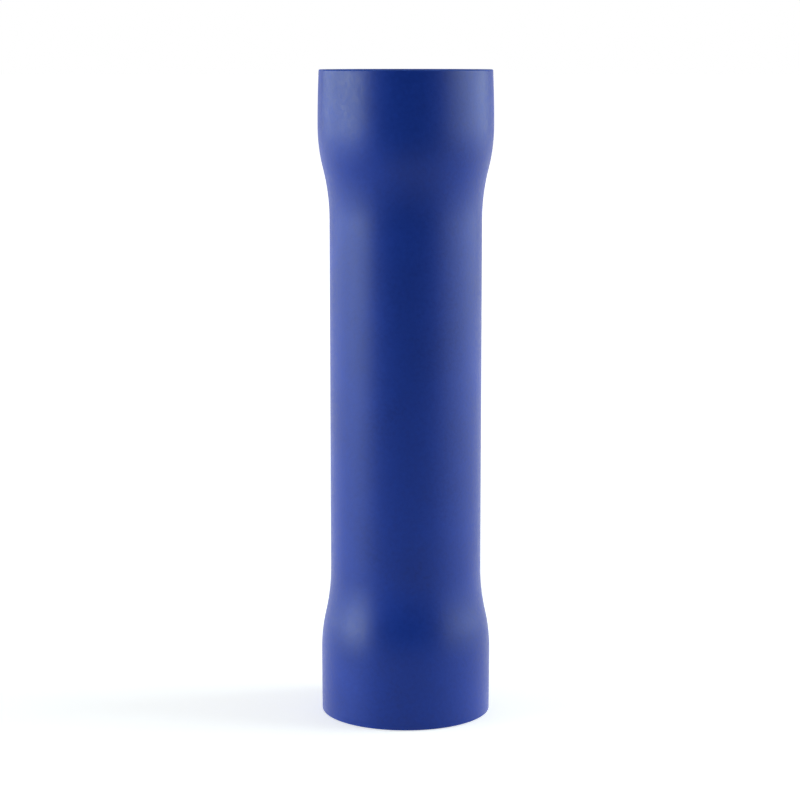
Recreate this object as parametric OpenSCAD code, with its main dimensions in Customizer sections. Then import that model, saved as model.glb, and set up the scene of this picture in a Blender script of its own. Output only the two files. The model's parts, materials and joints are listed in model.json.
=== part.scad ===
// Insulated butt splice connector for wires of 1.5 to 2.5 mm2.
// A seamless copper barrel with a rolled wire stop sits in a plastic sleeve whose two ends
// open into bell mouths. It stands on its lower rim, with its axis along +Z.

/* [Barrel] */
// Length of the metal barrel
barrel_length = 15; // [12:0.5:30]
// Outside diameter of the metal barrel
barrel_od = 3.9; // [3.4:0.1:4.2]
// Bore that takes the stripped conductor
wire_bore = 2.3; // [1.6:0.1:2.6]
// Depth of the chamfer that leads the conductor into the bore
entry_chamfer = 0.3; // [0.1:0.05:0.4]
// Bevel on the outer edges of the barrel's ends
edge_break = 0.1; // [0.05:0.05:0.2]

/* [Wire stop] */
// How far the rolled stop reaches into the bore
stop_depth = 0.4; // [0.2:0.05:0.7]
// Radius on the hollow side of the roll
stop_roll_r = 0.5; // [0.3:0.1:1.5]

/* [Sleeve] */
// Depth of each bell mouth, from its rim to the end of the barrel
bell_depth = 5; // [4.5:0.1:10]
// Bore of the bell mouths, which takes the wire's insulation
bell_bore = 4.8; // [4.5:0.1:5.6]
// Wall of the upper bell at its widest
upper_bell_wall = 0.97; // [0.8:0.01:1.2]
// Wall of the lower bell at its widest
lower_bell_wall = 0.9; // [0.8:0.01:1.2]
// Wall at the upper rim, where the bell draws in a little
upper_rim_wall = 0.92; // [0.6:0.01:1.1]
// Wall at the lower rim
lower_rim_wall = 0.89; // [0.6:0.01:1.1]
// Radius on the edges of the rims
rim_round = 0.05; // [0.04:0.01:0.24]
// Wall of the neck, around the barrel
neck_wall = 0.96; // [0.7:0.01:1.1]

/* [Shoulders] */
// Radius of the full arc where a bell turns in
shoulder_crest_r = 6.5; // [2:0.5:8]
// Radius of the hollow arc that runs out on to the neck
shoulder_root_r = 8; // [2:0.5:9]
// How far a shoulder runs on past the barrel's end
shoulder_overlap = 0.7; // [0:0.05:1.5]
// Radius of both arcs of the funnel inside a bell
funnel_r = 2.2; // [0.6:0.1:4]

/* [Fit] */
// Gap on radius between the barrel and the sleeve's bore
seat_gap = 0.02; // [0:0.01:0.05]

/* [Hidden] */

sleeve_length = barrel_length + 2 * bell_depth;
barrel_r = barrel_od / 2;
wire_r = wire_bore / 2;
barrel_wall = barrel_r - wire_r;
stop_outer_r = stop_roll_r + barrel_wall;
neck_bore_r = barrel_r + seat_gap;
neck_r = neck_bore_r + neck_wall;
shoulder_end = bell_depth + shoulder_overlap;
bell_bore_r = bell_bore / 2;

// Largest turn between two points of an arc, in degrees
arc_step = 10;
// Fewest chords in an arc
arc_chords = 6;
// Chords along a bell's slow curve, from its rim to its widest
crown_chords = 6;
$fn = 96;

// Sections are lists of points [radius, height].

// Points of an arc, from one angle to another
function arc(centre, r, from, to) =
    let (chords = max(arc_chords, ceil(abs(to - from) / arc_step)))
    [for (i = [0:chords])
        let (angle = from + (to - from) * i / chords)
        centre + r * [cos(angle), sin(angle)]];

// Turn of each arc in an ogee, from how far it steps in and its two radii together
function ogee_turn(step, radii) = acos(1 - step / radii);

// Height of such an ogee
function ogee_height(step, radii) = radii * sin(ogee_turn(step, radii));

// Two tangent arcs that step in from wide_r to narrow_r on the way up, upright at both ends
function ogee(wide_r, narrow_r, narrow_z, wide_arc_r, narrow_arc_r) =
    let (step = wide_r - narrow_r,
         radii = wide_arc_r + narrow_arc_r,
         turn = ogee_turn(step, radii),
         wide_z = narrow_z - ogee_height(step, radii))
    concat(arc([wide_r - wide_arc_r, wide_z], wide_arc_r, 0, turn),
           arc([narrow_r + narrow_arc_r, narrow_z], narrow_arc_r, 180 + turn, 180));

function reversed(points) = [for (i = [len(points) - 1:-1:0]) points[i]];

function turned_over(points, length) = [for (p = points) [p[0], length - p[1]]];

// Closed section of a tube, from the lower and upper halves of its outside and one end of its bore
function tube_section(lower, upper, bore, length) =
    concat(lower, reversed(turned_over(upper, length)), turned_over(bore, length), reversed(bore));

// Outside of a bell, from its rim up to its widest at wide_z
function bell_crown(rim_r, bell_r, wide_z) =
    [for (i = [1:crown_chords - 1])
        let (way_up = i / crown_chords)
        [bell_r - (bell_r - rim_r) * pow(1 - way_up, 2),
         rim_round + (wide_z - rim_round) * way_up]];

// Outside of the sleeve, from the rim of a bell up to the neck
function sleeve_outside(rim_wall, bell_wall) =
    let (rim_r = bell_bore_r + rim_wall,
         bell_r = bell_bore_r + bell_wall,
         wide_z = shoulder_end - ogee_height(bell_r - neck_r, shoulder_crest_r + shoulder_root_r))
    concat(arc([rim_r - rim_round, rim_round], rim_round, -90, 0),
           bell_crown(rim_r, bell_r, wide_z),
           ogee(bell_r, neck_r, shoulder_end, shoulder_crest_r, shoulder_root_r));

// Bore of the sleeve, from the rim of a bell up to the barrel's end
function sleeve_bore() =
    concat(arc([bell_bore_r + rim_round, rim_round], rim_round, 270, 180),
           ogee(bell_bore_r, neck_bore_r, bell_depth, funnel_r, funnel_r));

// Outside of the barrel, from its end up to the middle of the rolled groove
function barrel_outside() =
    concat([[barrel_r - edge_break, 0], [barrel_r, edge_break]],
           ogee(barrel_r, barrel_r - stop_depth, barrel_length / 2, stop_outer_r, stop_roll_r));

// Bore of the barrel, from its end up to the middle of the stop
function barrel_bore() =
    concat([[wire_r + entry_chamfer, 0], [wire_r, entry_chamfer]],
           ogee(wire_r, wire_r - stop_depth, barrel_length / 2, stop_roll_r, stop_outer_r));

// One plastic tube, tight on the barrel along its neck, with a bell mouth at each end
module insulating_sleeve() {
    color("#143893")
        rotate_extrude()
            polygon(tube_section(sleeve_outside(lower_rim_wall, lower_bell_wall),
                                 sleeve_outside(upper_rim_wall, upper_bell_wall),
                                 sleeve_bore(), sleeve_length));
}

// One metal tube with a groove rolled round its middle, which stands in the bore as the wire stop
module crimp_barrel() {
    color("#c8cace")
        translate([0, 0, bell_depth])
            rotate_extrude()
                polygon(tube_section(barrel_outside(), barrel_outside(), barrel_bore(), barrel_length));
}

insulating_sleeve();
crimp_barrel();
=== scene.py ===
"""Dresses a butt splice connector: a satin vinyl sleeve formed over a tin-plated crimp barrel.

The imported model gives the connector's length, its bores and the barrel's place. The walls and the
radii of its curves are fields of the two pieces, in metres. Both pieces are turned about the
connector's axis, ring by ring, and stand on a pale photo table in soft studio light.
"""

import json
import logging
import math
from dataclasses import dataclass
from enum import Enum

import bpy
from mathutils import Matrix, Vector


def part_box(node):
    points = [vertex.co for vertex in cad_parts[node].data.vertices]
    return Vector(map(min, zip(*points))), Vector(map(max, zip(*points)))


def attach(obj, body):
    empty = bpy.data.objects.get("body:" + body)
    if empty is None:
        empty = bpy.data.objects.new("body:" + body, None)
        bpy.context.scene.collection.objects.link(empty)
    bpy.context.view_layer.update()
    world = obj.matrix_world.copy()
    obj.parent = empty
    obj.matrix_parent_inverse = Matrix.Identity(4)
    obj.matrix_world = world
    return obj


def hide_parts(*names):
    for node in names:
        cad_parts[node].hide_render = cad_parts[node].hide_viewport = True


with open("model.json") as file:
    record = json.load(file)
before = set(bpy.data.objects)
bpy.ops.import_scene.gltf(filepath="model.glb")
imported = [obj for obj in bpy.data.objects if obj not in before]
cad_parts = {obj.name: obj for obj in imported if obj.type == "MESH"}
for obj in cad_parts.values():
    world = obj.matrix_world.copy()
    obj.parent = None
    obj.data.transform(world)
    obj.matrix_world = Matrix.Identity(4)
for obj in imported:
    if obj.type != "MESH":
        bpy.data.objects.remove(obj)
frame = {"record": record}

LOG = logging.getLogger("butt_splice")
PICTURE_SIDE = 800
MM = 0.001
WHITE = (1.0, 1.0, 1.0)
COOL_WHITE = (0.88, 1.0, 0.96)  # colour of the side lights
WHITE_LAMP = 4.0  # watts per square metre at which a lamp's face is as bright as white paper
MARK_PAIR = (0.6, 1.4)  # range in which the sum of two marks mostly stays

Point = tuple[float, float]
Range = tuple[float, float]
Colour = tuple[float, float, float]
Socket = bpy.types.NodeSocket
SocketValue = float | tuple[float, ...] | Socket


class Node(Enum):
    """The CAD nodes that the pieces stand for."""

    SLEEVE = "insulating_sleeve"
    BARREL = "crimp_barrel"


class Slot(Enum):
    """The record's material slots."""

    SLEEVE = "sleeve_plastic"
    BARREL = "tinned_copper"


class End(Enum):
    """The two ends of the connector."""

    LOWER = "lower"
    UPPER = "upper"


class Mark(Enum):
    """The marks that making a tube leaves on it, by their names in the node groups."""

    GRAIN = "Grain"
    CLOUD = "Cloud"
    LINES = "Lines"
    FACE = "Face"
    RINGS = "Rings"


Marks = dict[Mark, Socket]


def mount_radius(name: str) -> float:
    """Reads the radius of one of the record's bores.

    Args:
        name: Name of the mount.

    Returns:
        The bore's radius, in metres.
    """
    mount = next(m for m in frame["record"]["mounts"] if m["name"] == name)
    return mount["dims"]["r_mm"] * MM


def arc(centre: Point, radius: float, start: float, stop: float, chords: int) -> list[Point]:
    """Follows an arc of a section.

    Args:
        centre: Radius and height of the arc's centre.
        radius: The arc's own radius.
        start: Angle of the first point, in degrees from straight outwards.
        stop: Angle of the last point, in degrees.
        chords: How many chords the arc has.

    Returns:
        The arc's points, with both ends.
    """
    points = []
    for i in range(chords + 1):
        angle = math.radians(start + (stop - start) * i / chords)
        points.append((centre[0] + radius * math.cos(angle), centre[1] + radius * math.sin(angle)))
    return points


@dataclass(frozen=True)
class Ogee:
    """Two tangent arcs that step a section in on the way up, upright at both ends.

    Attributes:
        wide: Radius where it starts.
        narrow: Radius where it ends.
        top: Height where it ends.
        wide_arc: Radius of the full arc at its wide end.
        narrow_arc: Radius of the hollow arc at its narrow end.
        chords: How many chords each arc has.
    """

    wide: float
    narrow: float
    top: float
    wide_arc: float
    narrow_arc: float
    chords: int = 10

    @property
    def turn(self) -> float:
        """How far each arc turns, in degrees."""
        step = (self.wide - self.narrow) / (self.wide_arc + self.narrow_arc)
        return math.degrees(math.acos(1 - step))

    @property
    def bottom(self) -> float:
        """Height where it starts."""
        return self.top - (self.wide_arc + self.narrow_arc) * math.sin(math.radians(self.turn))

    def points(self) -> list[Point]:
        """Gives its points on the way up, each of them once."""
        crest = (self.wide - self.wide_arc, self.bottom)
        root = (self.narrow + self.narrow_arc, self.top)
        full = arc(crest, self.wide_arc, 0, self.turn, self.chords)
        hollow = arc(root, self.narrow_arc, 180 + self.turn, 180, self.chords)
        return full + hollow[1:]


def turned_over(points: list[Point], length: float) -> list[Point]:
    """Gives the same points seen from the other end of a piece of that length."""
    return [(radius, length - height) for radius, height in points]


@dataclass(frozen=True)
class Lathe:
    """Makes a closed ring of mesh from a section, by extruding and resizing one ring of edges.

    Attributes:
        segments: Sides of the ring.
        smooth_angle: Largest angle between faces that are shaded as one surface.
    """

    segments: int = 192
    smooth_angle: float = math.radians(30)

    def turn(self, name: str, section: list[Point]) -> bpy.types.Object:
        """Turns a piece.

        Args:
            name: Name of the new piece.
            section: Radius and height of each ring in order; the last is joined to the first.

        Returns:
            The new piece, at the origin.
        """
        bpy.ops.object.select_all(action="DESELECT")
        radius, height = section[0]
        place = (0, 0, height)
        bpy.ops.mesh.primitive_circle_add(vertices=self.segments, radius=radius, location=place)
        piece = bpy.context.active_object
        piece.name = name
        piece.data.name = name
        bpy.ops.object.mode_set(mode="EDIT")
        bpy.ops.mesh.select_mode(type="EDGE")
        bpy.ops.mesh.select_all(action="SELECT")
        for next_radius, next_height in section[1:]:
            self.draw_ring(radius, next_radius, next_height - height, next_height)
            radius, height = next_radius, next_height
        self.close_ring()
        bpy.ops.object.mode_set(mode="OBJECT")
        bpy.ops.object.transform_apply(location=True, rotation=True, scale=True)
        bpy.ops.object.shade_smooth_by_angle(angle=self.smooth_angle)
        return piece

    def draw_ring(self, radius: float, next_radius: float, rise: float, height: float) -> None:
        """Extrudes the selected ring to the section's next point.

        Args:
            radius: Radius of the selected ring.
            next_radius: Radius of the new ring.
            rise: How far the new ring is above the selected one.
            height: Height of the new ring.
        """
        bpy.ops.mesh.extrude_edges_move(TRANSFORM_OT_translate={"value": (0, 0, rise)})
        grow = next_radius / radius
        bpy.ops.transform.resize(value=(grow, grow, 1), center_override=(0, 0, height))

    def close_ring(self) -> None:
        """Joins the last ring to the first, and turns the faces outwards."""
        bpy.ops.mesh.select_all(action="SELECT")
        bpy.ops.mesh.region_to_loop()
        bpy.ops.mesh.bridge_edge_loops()
        bpy.ops.mesh.select_all(action="SELECT")
        bpy.ops.mesh.normals_make_consistent(inside=False)


@dataclass(frozen=True)
class NodeBench:
    """Adds nodes to one tree and links them.

    Attributes:
        tree: Node tree of a material, a world or a group.
    """

    tree: bpy.types.NodeTree

    def add(self, kind: str, inputs: dict[str, SocketValue], **settings: object) -> bpy.types.Node:
        """Adds a node.

        Args:
            kind: Blender's name for this kind of node.
            inputs: A value or a source socket for each input, by its name or identifier.
            settings: The node's own settings.

        Returns:
            The new node.
        """
        node = self.tree.nodes.new(kind)
        for name, setting in settings.items():
            setattr(node, name, setting)
        for name, value in inputs.items():
            self.feed(node, name, value)
        return node

    def feed(self, node: bpy.types.Node, name: str, value: SocketValue) -> None:
        """Sets a node's input, or links it to a source.

        Args:
            node: The node.
            name: The input's name or identifier.
            value: A value, or a source socket.
        """
        target = next(s for s in node.inputs if name in (s.identifier, s.name))
        if isinstance(value, Socket):
            self.tree.links.new(value, target)
        else:
            target.default_value = value

    def maths(self, operation: str, first: SocketValue, second: SocketValue) -> Socket:
        """Adds a sum or another operation on two values.

        Args:
            operation: Blender's name for the operation.
            first: The first value.
            second: The second value.

        Returns:
            The socket with the result.
        """
        inputs = {"Value": first, "Value_001": second}
        return self.add("ShaderNodeMath", inputs, operation=operation).outputs["Value"]

    def scaled(self, vector: Socket, factors: tuple[float, float, float]) -> Socket:
        """Scales a vector along each axis.

        Args:
            vector: The vector's socket.
            factors: The factor along each axis.

        Returns:
            The socket with the scaled vector.
        """
        inputs = {"Vector": vector, "Vector_001": factors}
        node = self.add("ShaderNodeVectorMath", inputs, operation="MULTIPLY")
        return node.outputs["Vector"]

    def length(self, vector: Socket) -> Socket:
        """Gives the socket with a vector's length."""
        node = self.add("ShaderNodeVectorMath", {"Vector": vector}, operation="LENGTH")
        return node.outputs["Value"]

    def spread(self, value: Socket, source: Range, result: Range) -> Socket:
        """Carries a value from one range over to another, and holds it there.

        Args:
            value: The value's socket.
            source: The range that the value comes in.
            result: The range that it goes out in.

        Returns:
            The socket with the result.
        """
        inputs = {
            "Value": value,
            "From Min": source[0],
            "From Max": source[1],
            "To Min": result[0],
            "To Max": result[1],
        }
        return self.add("ShaderNodeMapRange", inputs, clamp=True).outputs["Result"]

    def blend(self, share: Socket, first: SocketValue, second: SocketValue) -> Socket:
        """Blends two colours.

        Args:
            share: How much of the second colour there is, from 0 to 1.
            first: The first colour.
            second: The second colour.

        Returns:
            The socket with the blended colour.
        """
        inputs = {"Factor_Float": share, "A_Color": first, "B_Color": second}
        node = self.add("ShaderNodeMix", inputs, data_type="RGBA")
        return next(s for s in node.outputs if s.identifier == "Result_Color")


def cleared_bench(owner: bpy.types.Material | bpy.types.World) -> NodeBench:
    """Empties the node tree of a material or a world, and gives the bench for it.

    Args:
        owner: The material or the world.

    Returns:
        The bench for its tree.
    """
    owner.use_nodes = True
    owner.node_tree.nodes.clear()
    return NodeBench(owner.node_tree)


@dataclass(frozen=True)
class Noise:
    """How a noise texture is built up.

    Attributes:
        detail: How many finer layers it has.
        roughness: How strong each layer is, as a part of the coarser one.
        dimensions: Blender's name for the space that it fills.
    """

    detail: float
    roughness: float
    dimensions: str = "3D"

    def place(self, bench: NodeBench, inputs: dict[str, SocketValue]) -> Socket:
        """Adds the texture to a tree.

        Args:
            bench: The bench for the tree.
            inputs: The texture's scale, and the position that it is read at.

        Returns:
            The socket with the noise.
        """
        layers = {"Detail": self.detail, "Roughness": self.roughness}
        inputs = {**inputs, **layers}
        node = bench.add("ShaderNodeTexNoise", inputs, noise_dimensions=self.dimensions)
        return node.outputs["Fac"]


@dataclass(frozen=True)
class GroupPlan:
    """A shader node group that several materials share.

    Attributes:
        name: Name of the group.
        values: Names of its number inputs, after the position.
        results: Its outputs, all of them numbers.
    """

    name: str
    values: tuple[str, ...]
    results: tuple[Mark, ...]

    def tree(self) -> bpy.types.NodeTree:
        """Gives the group, which is built the first time.

        Returns:
            The group's tree.
        """
        if self.name in bpy.data.node_groups:
            return bpy.data.node_groups[self.name]
        tree = bpy.data.node_groups.new(self.name, "ShaderNodeTree")
        tree.interface.new_socket("Position", in_out="INPUT", socket_type="NodeSocketVector")
        for value in self.values:
            tree.interface.new_socket(value, in_out="INPUT", socket_type="NodeSocketFloat")
        for mark in self.results:
            tree.interface.new_socket(mark.value, in_out="OUTPUT", socket_type="NodeSocketFloat")
        bench = NodeBench(tree)
        marks = self.marks(bench, bench.add("NodeGroupInput", {}))
        bench.add("NodeGroupOutput", {mark.value: socket for mark, socket in marks.items()})
        return tree

    def marks(self, bench: NodeBench, given: bpy.types.Node) -> Marks:
        """Adds the nodes that draw the group's marks; each group has its own.

        Args:
            bench: The bench for the group's tree.
            given: The group's input node.

        Returns:
            The socket of each mark.
        """
        raise NotImplementedError


@dataclass(frozen=True)
class DrawnGrain(GroupPlan):
    """Grain, clouding and lengthwise lines of a tube that was drawn or extruded.

    Attributes:
        line_squeeze: Part of the height that the lines' pattern reads, which draws the lines out.
        grain: Noise of the grain.
        cloud: Noise of the clouds.
        lines: Noise of the lines.
    """

    name: str = "drawn_grain"
    values: tuple[str, ...] = ("Grain Scale", "Cloud Scale", "Line Scale")
    results: tuple[Mark, ...] = (Mark.GRAIN, Mark.CLOUD, Mark.LINES)
    line_squeeze: float = 0.02
    grain: Noise = Noise(3.0, 0.6)
    cloud: Noise = Noise(2.0, 0.5)
    lines: Noise = Noise(2.0, 0.55)

    def marks(self, bench: NodeBench, given: bpy.types.Node) -> Marks:
        """Adds the nodes that draw the grain, the clouds and the lines.

        Args:
            bench: The bench for the group's tree.
            given: The group's input node.

        Returns:
            The socket of each mark.
        """
        grain_scale, cloud_scale, line_scale = (given.outputs[value] for value in self.values)
        position = given.outputs["Position"]
        squeezed = bench.scaled(position, (1.0, 1.0, self.line_squeeze))
        return {
            Mark.GRAIN: self.grain.place(bench, {"Vector": position, "Scale": grain_scale}),
            Mark.CLOUD: self.cloud.place(bench, {"Vector": position, "Scale": cloud_scale}),
            Mark.LINES: self.lines.place(bench, {"Vector": squeezed, "Scale": line_scale}),
        }


@dataclass(frozen=True)
class CutEnd(GroupPlan):
    """The cut faces at a tube's two ends, and the rings that the cutter leaves on them.

    Attributes:
        rings: Noise of the rings, across the tube.
    """

    name: str = "cut_end"
    values: tuple[str, ...] = ("Lower End", "Upper End", "Depth", "Ring Scale")
    results: tuple[Mark, ...] = (Mark.FACE, Mark.RINGS)
    rings: Noise = Noise(2.0, 0.5, "1D")

    def marks(self, bench: NodeBench, given: bpy.types.Node) -> Marks:
        """Adds the nodes that find the cut faces and draw the rings.

        Args:
            bench: The bench for the group's tree.
            given: The group's input node.

        Returns:
            The socket of each mark.
        """
        lower_end, upper_end, depth, ring_scale = (given.outputs[value] for value in self.values)
        position = given.outputs["Position"]
        height = bench.add("ShaderNodeSeparateXYZ", {"Vector": position}).outputs["Z"]
        above = bench.maths("SUBTRACT", height, lower_end)
        below = bench.maths("SUBTRACT", upper_end, height)
        share = bench.maths("DIVIDE", bench.maths("MINIMUM", above, below), depth)
        radius = bench.length(bench.scaled(position, (1.0, 1.0, 0.0)))
        return {
            Mark.FACE: bench.spread(share, (0.0, 1.0), (1.0, 0.0)),
            Mark.RINGS: self.rings.place(bench, {"W": radius, "Scale": ring_scale}),
        }


def opaque(colour: Colour) -> tuple[float, float, float, float]:
    """Gives a colour its full alpha."""
    return (*colour, 1.0)


def shaded(colour: Colour, share: float) -> Colour:
    """Gives a colour that is lighter, or darker where the share is under 1."""
    return tuple(channel * share for channel in colour)


@dataclass(frozen=True)
class TubeMarks:
    """How fine a tube's marks are, and how far its cut ends reach.

    Attributes:
        grain_scale: Grain marks per metre.
        cloud_scale: Clouds per metre.
        line_scale: Lengthwise lines per metre.
        ring_scale: Cutter rings per metre.
        cut_depth: How far the cut reaches over an end.
    """

    grain_scale: float
    cloud_scale: float
    line_scale: float
    ring_scale: float
    cut_depth: float

    def place(self, bench: NodeBench, ends: Range) -> Marks:
        """Adds the marks to a material.

        Args:
            bench: The bench for the material's tree.
            ends: Heights of the tube's lower and upper end.

        Returns:
            The socket of each mark.
        """
        position = bench.add("ShaderNodeTexCoord", {}).outputs["Object"]
        scales = {
            "Position": position,
            "Grain Scale": self.grain_scale,
            "Cloud Scale": self.cloud_scale,
            "Line Scale": self.line_scale,
        }
        cuts = {
            "Position": position,
            "Lower End": ends[0],
            "Upper End": ends[1],
            "Depth": self.cut_depth,
            "Ring Scale": self.ring_scale,
        }
        drawn = bench.add("ShaderNodeGroup", scales, node_tree=DrawnGrain().tree())
        cut = bench.add("ShaderNodeGroup", cuts, node_tree=CutEnd().tree())
        return {Mark(socket.name): socket for node in (drawn, cut) for socket in node.outputs}


@dataclass(frozen=True)
class TubeFinish:
    """A tube's finish, with clouding in its colour and marks in its gloss and its relief.

    Attributes:
        name: Name of the material.
        shade: The finish's own colour.
        clouding: How far the colour goes lighter and darker.
        cloud_break: Mark that breaks up the clouds and the gloss.
        roughness: Roughness range of the walls.
        cut_roughness: Roughness of the cut ends.
        relief: Height of the marks, in metres.
        grain_share: Part of that height that the grain has.
        line_share: Part of that height that the lengthwise lines have.
        marks: The marks themselves.
    """

    name: str
    shade: Colour
    clouding: float
    cloud_break: Mark
    roughness: Range
    cut_roughness: float
    relief: float
    grain_share: float
    line_share: float
    marks: TubeMarks

    def material(self, ends: Range) -> bpy.types.Material:
        """Builds the material.

        Args:
            ends: Heights of the tube's lower and upper end.

        Returns:
            The new material.
        """
        material = bpy.data.materials.new(self.name)
        bench = cleared_bench(material)
        marks = self.marks.place(bench, ends)
        inputs = {
            "Base Color": self.colour(bench, marks),
            "Roughness": self.gloss(bench, marks),
            "Normal": self.normal(bench, marks),
            **self.constants(),
        }
        shader = bench.add("ShaderNodeBsdfPrincipled", inputs)
        bench.add("ShaderNodeOutputMaterial", {"Surface": shader.outputs["BSDF"]})
        return material

    def constants(self) -> dict[str, float]:
        """Gives the shader's values that are the same all over."""
        return {}

    def colour(self, bench: NodeBench, marks: Marks) -> Socket:
        """Adds the clouded colour.

        Args:
            bench: The bench for the material's tree.
            marks: The socket of each mark.

        Returns:
            The socket with the colour.
        """
        broken = bench.maths("ADD", marks[Mark.CLOUD], marks[self.cloud_break])
        clouds = bench.spread(broken, MARK_PAIR, (0.0, 1.0))
        darker = opaque(shaded(self.shade, 1 - self.clouding))
        lighter = opaque(shaded(self.shade, 1 + self.clouding))
        return bench.blend(clouds, darker, lighter)

    def gloss(self, bench: NodeBench, marks: Marks) -> Socket:
        """Adds the roughness of the walls and of the cut ends.

        Args:
            bench: The bench for the material's tree.
            marks: The socket of each mark.

        Returns:
            The socket with the roughness.
        """
        broken = bench.maths("ADD", marks[Mark.GRAIN], marks[self.cloud_break])
        walls = bench.spread(broken, MARK_PAIR, self.roughness)
        cut_step = self.cut_roughness - sum(self.roughness) / 2
        return bench.maths("ADD", walls, bench.maths("MULTIPLY", marks[Mark.FACE], cut_step))

    def normal(self, bench: NodeBench, marks: Marks) -> Socket:
        """Adds the relief of the marks.

        Args:
            bench: The bench for the material's tree.
            marks: The socket of each mark.

        Returns:
            The socket with the normal.
        """
        grain = bench.maths("MULTIPLY", marks[Mark.GRAIN], self.grain_share)
        lines = bench.maths("MULTIPLY", marks[Mark.LINES], self.line_share)
        rings = bench.maths("MULTIPLY", marks[Mark.FACE], marks[Mark.RINGS])
        height = bench.maths("ADD", bench.maths("ADD", grain, lines), rings)
        inputs = {"Strength": 1.0, "Distance": self.relief, "Height": height}
        return bench.add("ShaderNodeBump", inputs).outputs["Normal"]


@dataclass(frozen=True)
class SatinVinyl(TubeFinish):
    """Soft blue vinyl with a satin skin, faint clouding and a paler cut at each rim.

    Attributes:
        cut_shade: Colour of the cut rims.
        specular_level: How strongly the skin reflects.
    """

    name: str = "satin_blue_vinyl"
    shade: Colour = (0.005, 0.03, 0.2534)
    clouding: float = 0.18
    cloud_break: Mark = Mark.GRAIN
    roughness: Range = (0.365, 0.475)
    cut_roughness: float = 0.8
    relief: float = 4.5e-6
    grain_share: float = 1.0
    line_share: float = 0.12
    marks: TubeMarks = TubeMarks(
        grain_scale=6500.0,
        cloud_scale=420.0,
        line_scale=2600.0,
        ring_scale=16000.0,
        cut_depth=0.05 * MM,
    )
    cut_shade: Colour = (0.02, 0.07, 0.37)
    specular_level: float = 0.223

    def constants(self) -> dict[str, float]:
        """Gives the shader's values that are the same all over."""
        return {"Specular IOR Level": self.specular_level}

    def colour(self, bench: NodeBench, marks: Marks) -> Socket:
        """Adds the clouded colour, with the cut rims in their own.

        Args:
            bench: The bench for the material's tree.
            marks: The socket of each mark.

        Returns:
            The socket with the colour.
        """
        skin = super().colour(bench, marks)
        return bench.blend(marks[Mark.FACE], skin, opaque(self.cut_shade))


@dataclass(frozen=True)
class TinPlate(TubeFinish):
    """Tin plate on copper: pale grey metal with drawing lines and a faint bloom."""

    name: str = "tin_plated_copper"
    shade: Colour = (0.58, 0.59, 0.61)
    clouding: float = 0.08
    cloud_break: Mark = Mark.LINES
    roughness: Range = (0.24, 0.38)
    cut_roughness: float = 0.4
    relief: float = 1.5e-6
    grain_share: float = 0.3
    line_share: float = 1.0
    marks: TubeMarks = TubeMarks(
        grain_scale=9000.0,
        cloud_scale=900.0,
        line_scale=9000.0,
        ring_scale=20000.0,
        cut_depth=0.12 * MM,
    )

    def constants(self) -> dict[str, float]:
        """Gives the shader's values that are the same all over."""
        return {"Metallic": 1.0}


def hand_over(piece: bpy.types.Object, node: Node) -> None:
    """Puts a piece in its CAD node's place.

    Args:
        piece: The finished piece.
        node: The CAD node that it stands for.
    """
    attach(piece, "root")
    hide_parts(node.value)


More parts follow.
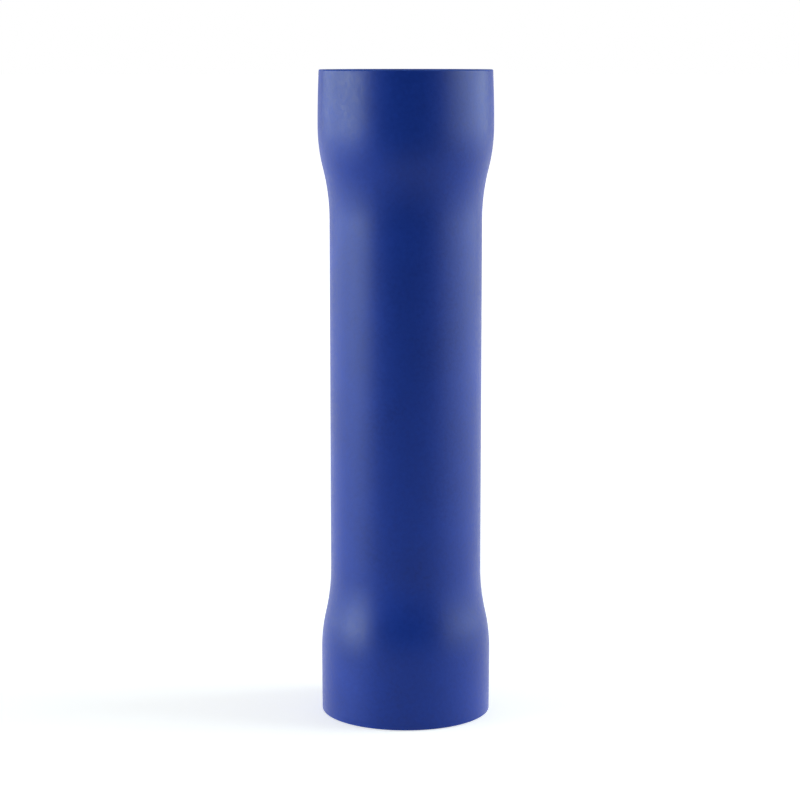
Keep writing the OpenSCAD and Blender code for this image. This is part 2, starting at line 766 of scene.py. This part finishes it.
@dataclass
class InsulatingSleeve:
    """The vinyl tube: a neck round the barrel, two ogee shoulders and a bell mouth at each end.

    Attributes:
        length: Length from rim to rim.
        bell_depth: Depth of a bell, from its rim to the barrel's end.
        bell_bore: Radius inside the bells.
        neck_bore: Radius inside the neck.
        neck_wall: Wall of the neck.
        upper_bell_wall: Wall of the upper bell at its widest.
        lower_bell_wall: Wall of the lower bell at its widest.
        upper_rim_wall: Wall of the upper bell at its rim.
        lower_rim_wall: Wall of the lower bell at its rim.
        rim_round: Radius on the edges of the rims.
        shoulder_crest: Radius of the arc where a bell turns in.
        shoulder_root: Radius of the arc that runs out on to the neck.
        shoulder_overlap: How far a shoulder runs on past the barrel's end.
        funnel: Radius of both arcs of the funnel inside a bell.
        crown_chords: Chords along a bell's slow curve.
        rim_chords: Chords round the edge of a rim.
        rim_rings: Rings across the flat of a rim.
        finish: The sleeve's finish.
    """

    length: float
    bell_depth: float
    bell_bore: float
    neck_bore: float
    neck_wall: float = 0.96 * MM
    upper_bell_wall: float = 0.97 * MM
    lower_bell_wall: float = 0.90 * MM
    upper_rim_wall: float = 0.92 * MM
    lower_rim_wall: float = 0.89 * MM
    rim_round: float = 0.05 * MM
    shoulder_crest: float = 6.5 * MM
    shoulder_root: float = 8.0 * MM
    shoulder_overlap: float = 0.7 * MM
    funnel: float = 2.2 * MM
    crown_chords: int = 10
    rim_chords: int = 8
    rim_rings: int = 4
    finish: SatinVinyl = SatinVinyl()

    @classmethod
    def from_frame(cls, seat_gap: float = 0.02 * MM) -> "InsulatingSleeve":
        """Takes the sleeve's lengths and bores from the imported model.

        Args:
            seat_gap: Gap on radius between the barrel and the sleeve.

        Returns:
            The sleeve.
        """
        bottom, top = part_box(Node.SLEEVE.value)
        barrel_bottom, barrel_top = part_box(Node.BARREL.value)
        return cls(
            length=top.z - bottom.z,
            bell_depth=barrel_bottom.z - bottom.z,
            bell_bore=mount_radius("insulation_entry_upper"),
            neck_bore=barrel_top.x + seat_gap,
        )

    def outside(self, end: End) -> list[Point]:
        """Gives the outside of one end, from the rim's outer edge to the neck.

        Args:
            end: Which end.

        Returns:
            The points, with heights measured from that end's rim.
        """
        bell = self.bell_bore + (self.upper_bell_wall if end is End.UPPER else self.lower_bell_wall)
        rim = self.bell_bore + (self.upper_rim_wall if end is End.UPPER else self.lower_rim_wall)
        shoulder = Ogee(
            wide=bell,
            narrow=self.neck_bore + self.neck_wall,
            top=self.bell_depth + self.shoulder_overlap,
            wide_arc=self.shoulder_crest,
            narrow_arc=self.shoulder_root,
        )
        rim_centre = (rim - self.rim_round, self.rim_round)
        edge = arc(rim_centre, self.rim_round, -90, 0, self.rim_chords)
        crown = []
        for i in range(1, self.crown_chords):
            way_up = i / self.crown_chords
            radius = bell - (bell - rim) * (1 - way_up) ** 2
            crown.append((radius, self.rim_round + (shoulder.bottom - self.rim_round) * way_up))
        return edge + crown + shoulder.points()

    def inside(self) -> list[Point]:
        """Gives the bore of one end, from the rim's inner edge to the barrel's end."""
        rim_centre = (self.bell_bore + self.rim_round, self.rim_round)
        edge = arc(rim_centre, self.rim_round, 270, 180, self.rim_chords)
        funnel = Ogee(
            wide=self.bell_bore,
            narrow=self.neck_bore,
            top=self.bell_depth,
            wide_arc=self.funnel,
            narrow_arc=self.funnel,
        )
        return edge + funnel.points()

    def half_section(self, end: End) -> list[Point]:
        """Gives one end's section, from the neck's bore over the rim to the neck's outside.

        Args:
            end: Which end.

        Returns:
            The points, with heights measured from that end's rim.
        """
        bore = self.inside()
        outside = self.outside(end)
        flat = []
        for i in range(1, self.rim_rings):
            share = i / self.rim_rings
            flat.append((bore[0][0] + (outside[0][0] - bore[0][0]) * share, 0.0))
        return bore[::-1] + flat + outside

    def build(self, lathe: Lathe) -> bpy.types.Object:
        """Turns the sleeve.

        Args:
            lathe: The lathe that turns it.

        Returns:
            The new piece.
        """
        upper = turned_over(self.half_section(End.UPPER), self.length)
        return lathe.turn("vinyl_sleeve", self.half_section(End.LOWER) + upper[::-1])

    def dress(self, piece: bpy.types.Object) -> None:
        """Gives the sleeve its finish, and puts it in the CAD node's place."""
        piece.data.materials.append(self.finish.material((0.0, self.length)))
        hand_over(piece, Node.SLEEVE)


@dataclass
class CrimpBarrel:
    """The metal tube: chamfered entries, broken outer edges and a wire stop rolled in halfway.

    Attributes:
        bottom: Height of its lower end.
        length: Its length.
        outside_radius: Radius of its outside.
        wire_bore: Radius of its bore.
        entry_chamfer: Depth of the chamfer that leads a wire in.
        edge_break: Bevel on the outer edges of its ends.
        stop_depth: How far the stop reaches into the bore.
        stop_roll: Radius on the hollow side of the roll.
        end_rings: Rings across each end.
        finish: The barrel's finish.
    """

    bottom: float
    length: float
    outside_radius: float
    wire_bore: float
    entry_chamfer: float = 0.3 * MM
    edge_break: float = 0.1 * MM
    stop_depth: float = 0.4 * MM
    stop_roll: float = 0.5 * MM
    end_rings: int = 3
    finish: TinPlate = TinPlate()

    @classmethod
    def from_frame(cls) -> "CrimpBarrel":
        """Takes the barrel's place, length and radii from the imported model."""
        bottom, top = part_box(Node.BARREL.value)
        return cls(
            bottom=bottom.z,
            length=top.z - bottom.z,
            outside_radius=top.x,
            wire_bore=mount_radius("wire_entry_upper"),
        )

    def half_section(self) -> list[Point]:
        """Gives one end's section, from the stop's crest over the end to the middle of the groove.

        Returns:
            The points, with heights measured from that end.
        """
        wall = self.outside_radius - self.wire_bore
        bore = Ogee(
            wide=self.wire_bore,
            narrow=self.wire_bore - self.stop_depth,
            top=self.length / 2,
            wide_arc=self.stop_roll,
            narrow_arc=self.stop_roll + wall,
        )
        groove = Ogee(
            wide=self.outside_radius,
            narrow=self.outside_radius - self.stop_depth,
            top=self.length / 2,
            wide_arc=self.stop_roll + wall,
            narrow_arc=self.stop_roll,
        )
        inner = self.wire_bore + self.entry_chamfer
        outer = self.outside_radius - self.edge_break
        face = []
        for i in range(self.end_rings + 1):
            face.append((inner + (outer - inner) * i / self.end_rings, 0.0))
        entry = [(self.wire_bore, self.entry_chamfer)]
        corner = [(self.outside_radius, self.edge_break)]
        return bore.points()[::-1] + entry + face + corner + groove.points()

    def build(self, lathe: Lathe) -> bpy.types.Object:
        """Turns the barrel.

        Args:
            lathe: The lathe that turns it.

        Returns:
            The new piece.
        """
        lower = self.half_section()
        upper = turned_over(lower, self.length)
        loop = lower + upper[::-1][1:-1]
        standing = [(radius, self.bottom + height) for radius, height in loop]
        return lathe.turn("tinned_barrel", standing)

    def dress(self, piece: bpy.types.Object) -> None:
        """Gives the barrel its finish, and puts it in the CAD node's place."""
        ends = (self.bottom, self.bottom + self.length)
        piece.data.materials.append(self.finish.material(ends))
        hand_over(piece, Node.BARREL)


@dataclass(frozen=True)
class PhotoTable:
    """The pale table top, which looks white, also in reflections, and still takes a shadow.

    Attributes:
        half_width: Half its width.
        front: How far it reaches in front of the connector.
        back: How far it reaches behind.
        drop: How far it lies below the lower rim, so that their faces don't coincide.
        paleness: How much light it gives back.
        glow: White that it adds for the camera, near the connector and far from it.
        glow_reach: Distances between which the glow grows.
    """

    half_width: float = 1.5
    front: float = 0.06
    back: float = 3.0
    drop: float = 0.02 * MM
    paleness: float = 0.8
    glow: Range = (0.55, 1.0)
    glow_reach: Range = (0.05, 0.3)

    def build(self) -> bpy.types.Object:
        """Makes the table top.

        Returns:
            The new table top.
        """
        bpy.ops.object.select_all(action="DESELECT")
        depth = self.front + self.back
        middle = (0, (self.back - self.front) / 2, -self.drop)
        bpy.ops.mesh.primitive_plane_add(size=1, location=middle)
        table = bpy.context.active_object
        table.name = "photo_table"
        table.scale = (2 * self.half_width, depth, 1)
        bpy.ops.object.transform_apply(location=True, rotation=True, scale=True)
        table.data.materials.append(self.material())
        return table

    def material(self) -> bpy.types.Material:
        """Builds the table's material.

        Returns:
            The new material.
        """
        material = bpy.data.materials.new("pale_table")
        bench = cleared_bench(material)
        matt = bench.add("ShaderNodeBsdfDiffuse", {"Color": opaque(shaded(WHITE, self.paleness))})
        rays = bench.add("ShaderNodeLightPath", {}).outputs
        mirrored = bench.maths("MAXIMUM", rays["Is Glossy Ray"], rays["Is Transmission Ray"])
        distance = bench.length(bench.add("ShaderNodeTexCoord", {}).outputs["Object"])
        level = bench.spread(distance, self.glow_reach, self.glow)
        shown = bench.maths("MULTIPLY", rays["Is Camera Ray"], level)
        glow = bench.maths("MAXIMUM", shown, mirrored)
        white = bench.add("ShaderNodeEmission", {"Color": opaque(WHITE), "Strength": glow})
        shaders = {"Shader": matt.outputs["BSDF"], "Shader_001": white.outputs["Emission"]}
        both = bench.add("ShaderNodeAddShader", shaders)
        bench.add("ShaderNodeOutputMaterial", {"Surface": both.outputs["Shader"]})
        return material


@dataclass(frozen=True)
class Studio:
    """The room: a white backdrop behind the connector, a dim front, and all white to the camera.

    Attributes:
        front_level: Brightness in front.
        back_level: Brightness of the backdrop.
        edge: Directions, as parts of straight back, between which the backdrop begins.
    """

    front_level: float = 0.05
    back_level: float = 1.0
    edge: Range = (0.75, 0.85)

    def build(self) -> bpy.types.World:
        """Makes the room.

        Returns:
            The scene's world.
        """
        world = bpy.data.worlds.new("studio")
        bench = cleared_bench(world)
        direction = bench.add("ShaderNodeTexCoord", {}).outputs["Generated"]
        backwards = bench.add("ShaderNodeSeparateXYZ", {"Vector": direction}).outputs["Y"]
        level = bench.spread(backwards, self.edge, (self.front_level, self.back_level))
        rays = bench.add("ShaderNodeLightPath", {}).outputs
        seen = bench.maths("MAXIMUM", rays["Is Camera Ray"], rays["Is Transmission Ray"])
        strength = bench.maths("MAXIMUM", level, seen)
        room = bench.add("ShaderNodeBackground", {"Color": opaque(WHITE), "Strength": strength})
        bench.add("ShaderNodeOutputWorld", {"Surface": room.outputs["Background"]})
        bpy.context.scene.world = world
        return world


@dataclass(frozen=True)
class SoftLight:
    """One rectangular soft light, which the camera doesn't see.

    Attributes:
        name: Its name.
        azimuth: Its direction from the connector, in degrees to the right of the camera.
        elevation: Its height as an angle, in degrees.
        spread: Its width and height as angles, in degrees.
        level: Its brightness, where 1 is white paper.
        colour: Its colour.
        distance: Its distance from the connector's middle.
        middle: Height of the connector's middle.
    """

    name: str
    azimuth: float
    elevation: float
    spread: Range
    level: float
    colour: Colour = COOL_WHITE
    distance: float = 0.3
    middle: float = 12.5 * MM

    def size(self, angle: float) -> float:
        """Gives the size that fills that angle, in degrees, seen from the connector."""
        return 2 * self.distance * math.tan(math.radians(angle / 2))

    def build(self) -> bpy.types.Object:
        """Hangs the light.

        Returns:
            The new light.
        """
        around = math.radians(self.azimuth)
        up = math.radians(self.elevation)
        flat = math.cos(up)
        towards = Vector((flat * math.sin(around), -flat * math.cos(around), math.sin(up)))
        place = Vector((0, 0, self.middle)) + self.distance * towards
        turn = (-towards).to_track_quat("-Z", "Y").to_euler()
        width, height = (self.size(angle) for angle in self.spread)
        bpy.ops.object.light_add(type="AREA", location=place, rotation=turn)
        light = bpy.context.active_object
        light.name = self.name
        light.data.name = self.name
        light.data.shape = "RECTANGLE"
        light.data.size = width
        light.data.size_y = height
        light.data.energy = WHITE_LAMP * self.level * width * height
        light.data.color = self.colour
        light.visible_camera = False
        return light


SOFT_LIGHTS = (
    SoftLight("left_front", azimuth=-73.75, elevation=6.0, spread=(37.5, 12.0), level=16.1),
    SoftLight("left_side", azimuth=-111.25, elevation=6.0, spread=(37.5, 12.0), level=6.1),
    SoftLight("right_front", azimuth=70.0, elevation=6.0, spread=(30.0, 12.0), level=5.2),
    SoftLight("right_back", azimuth=107.5, elevation=6.0, spread=(45.0, 12.0), level=6.3),
    SoftLight("right_high", azimuth=90.0, elevation=26.0, spread=(30.0, 28.0), level=5.0),
    SoftLight("top", azimuth=0.0, elevation=90.0, spread=(70.0, 70.0), level=0.4, colour=WHITE),
)


@dataclass(frozen=True)
class PhotoCamera:
    """The camera at the photo's viewpoint.

    Attributes:
        distance: Its distance from the connector's axis, on the level.
        height: Its height above the table.
        pitch: How far it looks down, in degrees.
        yaw: How far it looks to the left of the axis, in degrees.
        focal_length: Its focal length, in pixels of the photo.
        nearest: Nearest distance that it sees.
    """

    distance: float = 87.455 * MM
    height: float = 25.5 * MM
    pitch: float = 8.59
    yaw: float = 0.146
    focal_length: float = 2277.0
    nearest: float = 1 * MM

    def build(self) -> bpy.types.Object:
        """Sets the camera up.

        Returns:
            The new camera.
        """
        place = Matrix.Translation((0, -self.distance, self.height))
        turn = Matrix.Rotation(math.radians(self.yaw), 4, "Z")
        tilt = Matrix.Rotation(math.radians(90 - self.pitch), 4, "X")
        bpy.ops.object.camera_add()
        camera = bpy.context.active_object
        camera.name = "photo_camera"
        camera.matrix_world = place @ turn @ tilt
        camera.data.sensor_fit = "HORIZONTAL"
        camera.data.lens = self.focal_length / PICTURE_SIDE * camera.data.sensor_width
        camera.data.clip_start = self.nearest
        bpy.context.scene.camera = camera
        return camera


def main() -> None:
    """Builds and dresses the pieces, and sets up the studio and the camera."""
    logging.basicConfig(level=logging.INFO, format="%(name)s: %(message)s")
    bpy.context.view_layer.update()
    lathe = Lathe()
    for part in (InsulatingSleeve.from_frame(), CrimpBarrel.from_frame()):
        piece = part.build(lathe)
        part.dress(piece)
        LOG.info("%s has %d faces", piece.name, len(piece.data.polygons))
    table = PhotoTable().build()
    LOG.info("%s is %.1f m deep", table.name, table.dimensions.y)
    Studio().build()
    for soft_light in SOFT_LIGHTS:
        light = soft_light.build()
        LOG.info("%s has %.4f W", light.name, light.data.energy)
    camera = PhotoCamera().build()
    LOG.info("%s has a lens of %.1f mm", camera.name, camera.data.lens)
    bpy.context.scene.view_settings.view_transform = "Standard"


if __name__ == "__main__":
    main()
